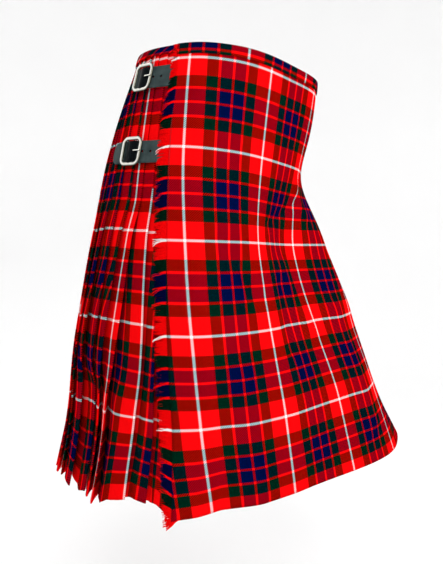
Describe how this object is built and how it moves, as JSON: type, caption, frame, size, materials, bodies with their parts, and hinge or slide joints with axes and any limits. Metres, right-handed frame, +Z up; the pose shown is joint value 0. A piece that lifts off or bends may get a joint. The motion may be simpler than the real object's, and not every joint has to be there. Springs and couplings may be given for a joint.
{
  "type": "kilt",
  "caption": "Knee-length pleated tartan kilt in its worn, hollow form, with a fringed over apron and buckled leather straps.",
  "frame": {"origin": "middle of the waist opening, level with the top edge, where the wearer's waist holds the kilt", "axes": "+Z up out of the waist opening, -Y the wearer's front, +X the wearer's left"},
  "size_m": [0.5781, 0.4462, 0.6079],
  "materials": {
    "tartan_wool": "worsted twill, red with navy, dark green and white stripes",
    "waistband_wool": "worsted twill, the same tartan",
    "fringe_wool": "loose red, navy, green and white yarn ends",
    "strap_leather": "smooth charcoal leather, softly polished",
    "nickel": "polished nickel plate"
  },
  "bodies": {
    "root": {"over_apron_and_left_pleats": "tartan_wool", "right_pleats_and_under_apron": "tartan_wool", "waistband": "waistband_wool", "fringe": "fringe_wool", "strap_waist_right": "strap_leather", "strap_hip_right": "strap_leather", "strap_waist_left": "strap_leather", "tab_waist_right": "strap_leather", "tab_hip_right": "strap_leather", "tab_waist_left": "strap_leather", "frame_waist_right": "nickel", "frame_hip_right": "nickel", "frame_waist_left": "nickel", "prong_waist_right": "nickel", "prong_hip_right": "nickel", "prong_waist_left": "nickel"}
  },
  "joints": []
}
